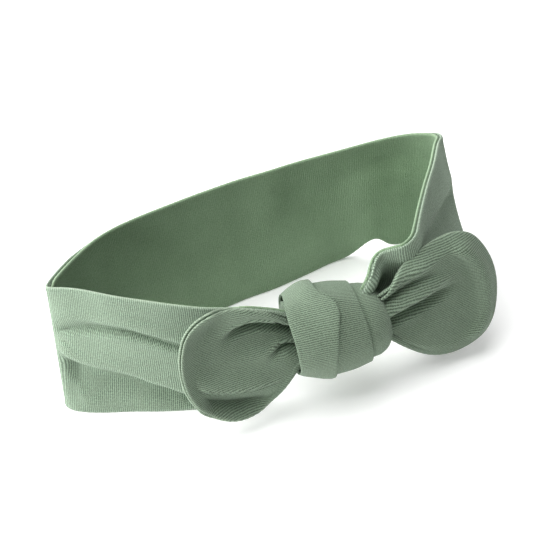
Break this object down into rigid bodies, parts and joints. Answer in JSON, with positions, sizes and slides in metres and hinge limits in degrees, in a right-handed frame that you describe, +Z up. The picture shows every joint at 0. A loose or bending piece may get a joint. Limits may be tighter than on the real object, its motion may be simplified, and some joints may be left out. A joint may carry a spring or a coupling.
{
  "type": "knotted headband",
  "caption": "Stretch jersey headband, a double-layer band standing on its edge, tied at the front in a knot with two rounded tails.",
  "frame": {"origin": "centre of the bounding box in plan, on the surface that the lower edge stands on", "axes": "+X along the loop's longest side to the end with the right tail, +Y from the knot to the back of the band, +Z up across the width of the band"},
  "size_m": [0.183, 0.1102, 0.062],
  "materials": {
    "jersey": "sage green fine-rib cotton jersey, matte with a soft fuzz",
    "lining_jersey": "the same jersey, as the inner layer, slightly deeper green",
    "sewing_thread": "pale green polyester sewing thread"
  },
  "bodies": {
    "band": {"outer_panel_front": "jersey", "outer_panel_left_side": "jersey", "outer_panel_right_side": "jersey", "lining_front": "lining_jersey", "lining_left_side": "lining_jersey", "lining_right_side": "lining_jersey", "top_edge_allowance": "lining_jersey", "bottom_edge_allowance": "lining_jersey", "top_edge_thread": "sewing_thread", "bottom_edge_thread": "sewing_thread", "knot_wrap": "jersey", "knot_wrap_lining": "lining_jersey", "knot_core": "jersey"},
    "band_back": {"outer_panel_back": "jersey", "lining_back": "lining_jersey"},
    "left_tail": {"left_tail_front_panel": "jersey", "left_tail_back_panel": "lining_jersey", "left_tail_allowance": "lining_jersey", "left_tail_thread": "sewing_thread", "left_tail_root": "jersey"},
    "right_tail": {"right_tail_front_panel": "jersey", "right_tail_back_panel": "lining_jersey", "right_tail_allowance": "lining_jersey", "right_tail_thread": "sewing_thread", "right_tail_root": "jersey"}
  },
  "joints": [
    {"name": "band_stretch", "type": "slide", "parent": "band", "child": "band_back", "axis": [0, 1, 0], "range_m": [0, 0.03], "stiffness_N_per_m": 60, "deforming": ["outer_panel_left_side", "outer_panel_right_side", "lining_left_side", "lining_right_side", "top_edge_allowance", "bottom_edge_allowance", "top_edge_thread", "bottom_edge_thread"]},
    {"name": "left_tail_swing", "type": "hinge", "parent": "band", "child": "left_tail", "pos_m": [0.00556, -0.04307, 0.031], "axis": [0, 0, 1], "range_deg": [-8, 50], "stiffness_Nm_per_rad": 0.003},
    {"name": "right_tail_swing", "type": "hinge", "parent": "band", "child": "right_tail", "pos_m": [0.04468, -0.03475, 0.031], "axis": [0, 0, -1], "range_deg": [-8, 50], "stiffness_Nm_per_rad": 0.003}
  ]
}
